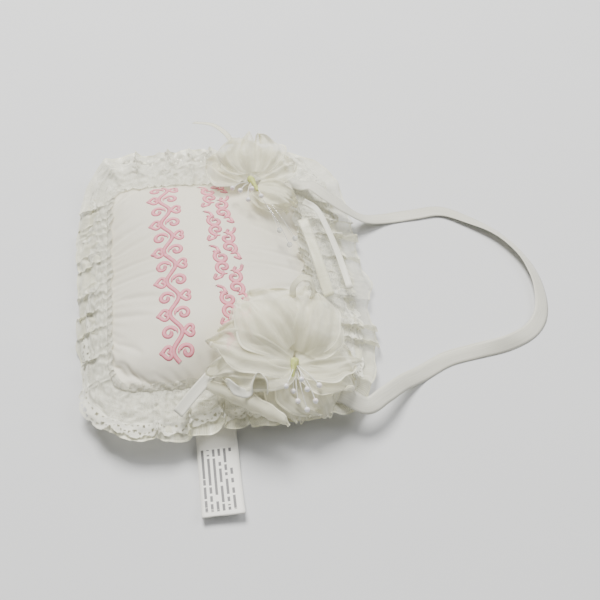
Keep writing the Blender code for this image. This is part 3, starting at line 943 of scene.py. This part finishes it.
def lay_petal(bm, centre, root, tip, width, lift, cup, crumple, seed):
    """A petal of thin cloth pinched at its root: pleats fan out from there, and its edge is uneven."""
    root = centre + Vector(root)
    tip = centre + Vector(tip)
    long = tip - root
    across = long.cross(UP).normalized()
    lift_way = across.cross(long).normalized()

    def place(along, over):
        aside = 2 * over - 1
        outline = math.sin(math.pi * min(0.04 + 0.93 * along, 1) ** 0.8) ** 0.55
        outline *= 1 + 0.2 * wobble(3.1 * along, math.copysign(1.7, aside), seed)
        half = 0.7 * MM + width / 2 * outline
        spread = 1 + 0.16 * wobble(2.6 * aside, seed, 3.0) - 0.05 * aside**2
        swing = 0.35 * aside**2 * along
        fan = math.sin(7.5 * aside + 2.5 * wobble(seed, 2.5 * aside) + seed)
        fine = math.sin(19 * aside + 3.0 * wobble(seed + 4, 4 * aside) + 1.7 * along)
        height = lift * 4 * along * (1 - 0.9 * along)
        height -= cup * aside**2 * math.sin(math.pi * min(along, 0.96))
        pleats = fan * (1 - 0.45 * along) + 0.35 * fine * (1 - along) ** 1.2
        height += crumple * min(1, 5 * along) * pleats
        height += crumple * min(1, 3 * along) * (1.5 * wobble(1.8 * along, 2.6 * aside, seed)
                                                 + 0.5 * wobble(4 * along, 8 * aside, seed))
        ripple = math.sin(6 * aside + 2 * seed + 2.5 * wobble(3 * aside, seed))
        height += crumple * 1.6 * eased(along, 0.6, 1.0) * ripple
        curl_back = 0.10 * long.length * eased(along, 0.8, 1.0) * (1 - aside**2)
        return (root + long * (along * spread - 0.25 * swing * along) + across * half * aside
                + lift_way * (height - curl_back))

    lay_cloth(bm, (44, 40), place, (long.length / MM, width / MM), shift=40 * seed)


def turned(vector, degrees, size):
    return Matrix.Rotation(math.radians(degrees), 3, "Z") @ Vector(vector) * size


def make_petals(side, centre, shapes):
    """Each petal is two layers of cloth, the lower one turned a little and shorter."""
    for number, (root, tip, width, lift, cup, crumple, turn) in enumerate(shapes, 1):
        bm = bmesh.new()
        seed = number * 1.7 + (0 if side == "right" else 11)
        lay_petal(bm, centre, root, tip, width, lift, cup, crumple, seed)
        lower_root = Vector(root) - 0.7 * MM * UP
        lower_tip = turned(tip, turn, 0.94) - 1.8 * MM * UP
        lay_petal(bm, centre, lower_root, lower_tip, width * 0.92, lift * 0.62, cup, crumple, seed + 0.6)
        name = f"{side}_chiffon_petal_{number}"
        piece = add_piece(name, bm, "ivory_chiffon", (f"{side}_flower_petal_{number}",))


# Each petal's root and tip from the flower's centre, its width, how far it rises and cups, the size
# of its crumples, and how far its lower layer is turned, in degrees.
RIGHT_PETALS = (
    ((-0.002, -0.001, 0.000), (-0.014, -0.037, 0.003), 0.030, 0.0085, 0.0050, 0.0016, 24),
    ((-0.006, -0.002, 0.004), (-0.033, -0.021, 0.009), 0.034, 0.0085, 0.0030, 0.0015, 12),
    ((-0.005, 0.003, 0.001), (-0.034, 0.012, 0.006), 0.032, 0.0085, 0.0040, 0.0012, -14),
    ((0.000, 0.001, -0.001), (-0.003, 0.0300, -0.009), 0.026, 0.0050, 0.0020, 0.0014, -22),
    ((-0.001, 0.000, -0.004), (0.021, 0.012, -0.012), 0.032, 0.0025, 0.0015, 0.0013, -30),
)
LEFT_PETALS = (
    ((-0.003, -0.003, -0.001), (-0.022, -0.021, -0.006), 0.026, 0.0050, 0.0030, 0.0018, -14),
    ((-0.005, 0.001, 0.002), (-0.030, 0.004, 0.000), 0.032, 0.0070, 0.0035, 0.0021, 15),
    ((-0.004, 0.004, 0.000), (-0.016, 0.025, -0.005), 0.027, 0.0060, 0.0030, 0.0018, 12),
    ((0.003, 0.003, -0.001), (0.014, 0.022, -0.004), 0.020, 0.0045, 0.0020, 0.0012, -12),
)
# Each stamen's tip from the flower's centre.
RIGHT_STAMENS = (
    (0.009, -0.0060, -0.003), (0.012, -0.0025, -0.0035), (0.0105, 0.0008, 0.0035),
    (0.014, 0.0030, 0.0005), (0.0165, -0.0010, -0.0045), (0.0175, 0.0065, -0.004),
    (0.0125, 0.0085, 0.0005), (0.0205, 0.0025, -0.0055), (0.012, -0.0060, 0.0015),
)
LEFT_STAMENS = (
    (0.011, -0.0065, 0.005), (0.0115, -0.0008, 0.0065), (0.0155, 0.0035, 0.005),
    (0.0075, -0.0100, 0.0035), (0.0160, -0.0030, 0.0035),
)
PEARL_RADIUS = 1.25 * MM
BEAD_RADIUS = 1.4 * MM


def lay_thread(bm, curve, radius):
    """A fine round thread of six sides: a circle swept along the curve."""
    count = len(curve) - 1

    def place(along, around):
        i = round(along * count)
        tangent = tangent_at(curve, i)
        side = tangent.cross(Vector((0.31, 0.2, 0.93))).normalized()
        other = tangent.cross(side)
        angle = 2 * math.pi * around
        return curve[i] + radius * (side * math.cos(angle) + other * math.sin(angle))

    made = lay_cloth(bm, (count, 6), place, (length_of(curve) / MM, 1.0))
    bmesh.ops.remove_doubles(bm, verts=made, dist=1e-7)


def make_stamens(side, centre, tips):
    for number, tip in enumerate(tips, 1):
        end = centre + Vector(tip)
        start = centre + Vector(tip) * 0.12
        sway = Vector((0.4 * math.sin(number), 0.5 * math.cos(2 * number), 1.2)) * MM
        bend = start.lerp(end, 0.55) + sway
        curve = smooth_route((start, bend, end), 6)
        bm = bmesh.new()
        lay_thread(bm, curve, 0.22 * MM)
        made = bmesh.ops.create_uvsphere(bm, u_segments=20, v_segments=14, radius=PEARL_RADIUS)["verts"]
        stretch = 1 + 0.08 * math.sin(3.1 * number)
        for vert in made:
            vert.co = end + Vector((vert.co.x * stretch, vert.co.y, vert.co.z / stretch))
        piece = add_piece(f"{side}_pearl_stamen_{number}", bm, "stiff_thread",
                          (f"{side}_flower_stamen_{number}",))
        piece.data.materials.append(FINISHES["pearl"])
        for polygon in piece.data.polygons:
            if (polygon.center - end).length < PEARL_RADIUS * 1.2:
                polygon.material_index = 1


def make_crystals(side, centre, places):
    """Faceted clear beads on clear threads."""
    for number, (x, y, lift) in enumerate(places, 1):
        node = f"{side}_crystal_{number}"
        low, high = node_box(node)
        spot = centre + Vector((x, y, 0))
        end = Vector((spot.x, spot.y, low.z + 1.5 * MM + lift))
        start = centre.lerp(end, 0.45) + 2.0 * MM * UP
        curve = smooth_route((start, start.lerp(end, 0.5) + 1.5 * MM * UP, end), 6)
        bm = bmesh.new()
        lay_thread(bm, curve, 0.16 * MM)
        made = bmesh.ops.create_icosphere(bm, subdivisions=2, radius=BEAD_RADIUS)["verts"]
        for vert in made:
            vert.co += end
        piece = add_piece(f"{side}_clear_bead_{number}", bm, "clear_bead", (node,))
        for polygon in piece.data.polygons:
            polygon.use_smooth = (polygon.center - end).length > BEAD_RADIUS + 0.1 * MM


def make_calyx(side, centre, tip):
    """The taped stem end where the petals and stamens are bound together."""
    start, end = centre + Vector((-0.0015, 0, 0.0005)), centre + Vector(tip)
    curve = smooth_route((start, start.lerp(end, 0.5) + 0.5 * MM * UP, end), 6)
    bm = bmesh.new()
    count = len(curve) - 1
    for i, point in enumerate(curve):
        share = i / count
        radius = MM * (1.7 * math.sqrt(max(1 - share, 0.02)) + 0.3 * math.sin(9 * share))
        turn = tangent_at(curve, i).to_track_quat("Z", "Y").to_matrix().to_4x4()
        made = bmesh.ops.create_circle(bm, segments=14, radius=radius, cap_ends=i in (0, count),
                                       matrix=Matrix.Translation(point) @ turn)["verts"]
        if i:
            bmesh.ops.bridge_loops(bm, edges=ring_edges(before) + ring_edges(made))
        before = made
    bmesh.ops.recalc_face_normals(bm, faces=bm.faces)
    add_piece(f"{side}_taped_stem", bm, "green_tape", (f"{side}_flower_calyx",))


def ring_edges(ring):
    inside = set(ring)
    return list({edge for vert in ring for edge in vert.link_edges if set(edge.verts) <= inside})


def make_lace_roll():
    """The rolled loop of lace and tulle that hangs below the right flower."""
    route = ((0.003, -0.042, -0.0065), (0.006, -0.036, -0.0045), (0.012, -0.026, -0.0035),
             (0.018, -0.017, -0.0045), (0.023, -0.009, -0.0065), (0.026, -0.006, -0.0080))
    curve = smooth_route(from_flower(RIGHT_FLOWER, route), 8)
    count = len(curve) - 1

    def place(along, around):
        i = round(along * count)
        tangent = tangent_at(curve, i)
        side = tangent.cross(UP).normalized()
        other = side.cross(tangent)
        angle = 2 * math.pi * 1.35 * around
        radius = MM * (0.5 + 3.6 * math.sin(math.pi * min(along * 1.05, 1)) ** 0.8)
        radius *= 0.72 + 0.34 * around
        radius *= 1 + 0.16 * wobble(9 * along, 2 * around) + 0.09 * math.sin(38 * along + angle)
        radius += 0.5 * MM * eased(along, 0.85, 1.0) * math.sin(5 * angle)
        return curve[i] + radius * (side * math.cos(angle) + other * math.sin(angle) * 0.85)

    bm = bmesh.new()
    lay_cloth(bm, (count, 40), place, (42, 21))
    piece = add_piece("rolled_lace", bm, "ivory_chiffon", ("right_lace_roll",),
                      modifiers=[ROUND_OFF])


def make_trimmings():
    make_ribbon("right_cut_tail", "right_satin_tail", RIGHT_FLOWER, (
        (-0.008, -0.024, 0.0010), (-0.004, -0.031, 0.0000), (0.001, -0.037, -0.0020),
        (0.008, -0.045, -0.0050), (0.015, -0.0525, -0.0085)), 0.0050,
        ((0.5, 0.8, 0.1), (0.6, 0.8, -0.2), (0.5, 0.8, -0.1)), cord="bare", cup=0.3 * MM)
    make_ribbon("right_small_curl", "right_satin_curl", RIGHT_FLOWER, (
        (0.007, -0.0310, -0.0010), (0.010, -0.0300, 0.0045), (0.014, -0.0270, 0.0045),
        (0.0135, -0.0225, 0.0015), (0.0100, -0.0205, 0.0040), (0.0080, -0.0175, 0.0075),
        (0.0110, -0.0145, 0.0065), (0.0145, -0.0140, 0.0015)), 0.0042,
        ((1, 0.3, 0.2), (0.8, 0.2, -0.6), (0.5, 0.1, 0.9), (1, -0.3, 0.3)))
    make_ribbon("right_standing_loop", "right_ribbon_loop", RIGHT_FLOWER, (
        (-0.026, 0.0015, 0.0130), (-0.0285, 0.0020, 0.0180), (-0.030, 0.0055, 0.0215),
        (-0.0295, 0.0095, 0.0205), (-0.0275, 0.0110, 0.0160), (-0.026, 0.0105, 0.0110)), 0.0030,
        ((-0.3, -1, 0), (-0.9, -0.5, 0.1), (-1, 0, 0.15), (-0.9, 0.5, 0.1), (-0.3, 1, 0)),
        finish="ivory_chiffon")
    make_ribbon("left_narrow_tail", "left_satin_tail", LEFT_FLOWER, (
        (0.008, 0.0270, -0.0085), (0.013, 0.0330, -0.0095), (0.024, 0.0365, -0.0105),
        (0.042, 0.0400, -0.0125), (0.062, 0.0425, -0.0148)), 0.0032,
        ((0, 1, 0.3), (0.1, 1, -0.2), (0.2, 1, 0.2)), cord="bare", cup=0.15 * MM)
    make_ribbon("left_sheer_ribbon", "left_organza_ribbon", LEFT_FLOWER, (
        (0.022, 0.0240, -0.0065), (0.030, 0.0255, -0.0065), (0.040, 0.0268, -0.0068),
        (0.052, 0.0285, -0.0085), (0.067, 0.0312, -0.0130)), 0.0052,
        ((0, 1, 0.2), (0.1, 1, -0.1), (0.2, 1, 0.2)), cord="bare",
        finish="sheer_organza", ripple=0.5 * MM)
    make_ribbon("left_sheer_streamer", "left_organza_streamer", LEFT_FLOWER, (
        (-0.026, -0.007, 0.003), (-0.031, -0.010, 0.0055), (-0.037, -0.0165, 0.0065),
        (-0.0435, -0.026, 0.003)), 0.0030,
        ((0.5, -1, 0), (1, -1, 0.4)), finish="ivory_chiffon")


# --------------------------------------------------------------- the studio


def make_studio():
    bm = bmesh.new()
    bmesh.ops.create_grid(bm, x_segments=2, y_segments=2, size=4.0)
    link_mesh("table", bm, "studio_paper")
    world = bpy.data.worlds.new("studio")
    world.use_nodes = True
    sky = world.node_tree.nodes["Background"].inputs
    sky["Color"].default_value = (0.97, 0.985, 1.0, 1)
    sky["Strength"].default_value = 0.25
    bpy.context.scene.world = world
    add_light("softbox", (-0.84, -0.20, 1.42), 0.85, 57.0, (1.0, 0.99, 0.965))
    add_light("fill", (-0.1, 0.95, 0.95), 0.9, 7.0, (0.98, 0.99, 1.0))


def add_light(name, place, size, energy, color):
    light = bpy.data.lights.new(name, "AREA")
    light.shape = "DISK"
    light.size = size
    light.energy = energy
    light.color = color
    lamp = bpy.data.objects.new(name, light)
    lamp.location = place
    lamp.rotation_euler = (Vector((0, 0.02, 0.01)) - lamp.location).to_track_quat("-Z", "Y").to_euler()
    bpy.context.scene.collection.objects.link(lamp)


def make_camera(azimuth, elevation, roll, distance, aim):
    """Azimuth 0 looks along +Y and 90 along -X. Angles are in degrees."""
    turn, tilt, bank = (math.radians(angle) for angle in (azimuth, elevation, roll))
    ahead = Vector((-math.sin(turn) * math.cos(tilt), math.cos(turn) * math.cos(tilt), -math.sin(tilt)))
    right = Vector((math.cos(turn), math.sin(turn), 0))
    above = right.cross(ahead)
    right, above = (right * math.cos(bank) + above * math.sin(bank),
                    above * math.cos(bank) - right * math.sin(bank))
    data = bpy.data.cameras.new("camera")
    data.sensor_width = 36
    data.lens = 47.2
    camera = bpy.data.objects.new("camera", data)
    place = Matrix((right, above, -ahead)).transposed().to_4x4()
    place.translation = Vector(aim) - ahead * distance
    camera.matrix_world = place
    bpy.context.scene.collection.objects.link(camera)
    bpy.context.scene.camera = camera


make_camera(azimuth=76, elevation=53, roll=7, distance=0.400, aim=(0.0085, 0.044, 0.0))
make_studio()
make_hanger()
make_organza()
make_lace()
make_stitching("vine_stitching", "lower_stitch_row", vine_row(55.0), 0.03)
make_stitching("scroll_stitching", "upper_stitch_row", scroll_row(54.0), 0.05)
make_label()
make_petals("right", RIGHT_FLOWER, RIGHT_PETALS)
make_petals("left", LEFT_FLOWER, LEFT_PETALS)
make_stamens("right", RIGHT_FLOWER, RIGHT_STAMENS)
make_stamens("left", LEFT_FLOWER, LEFT_STAMENS)
make_calyx("right", RIGHT_FLOWER, (0.0085, -0.0030, -0.0008))
make_calyx("left", LEFT_FLOWER, (0.0110, 0.0025, 0.0040))
make_crystals("right", RIGHT_FLOWER, ((-0.0255, 0.0175, 0.0165),))
make_crystals("left", LEFT_FLOWER, ((0.034, 0.0105, 0.002), (0.037, 0.0180, 0.003),
                                    (0.042, 0.0145, 0.002)))
make_lace_roll()
make_trimmings()
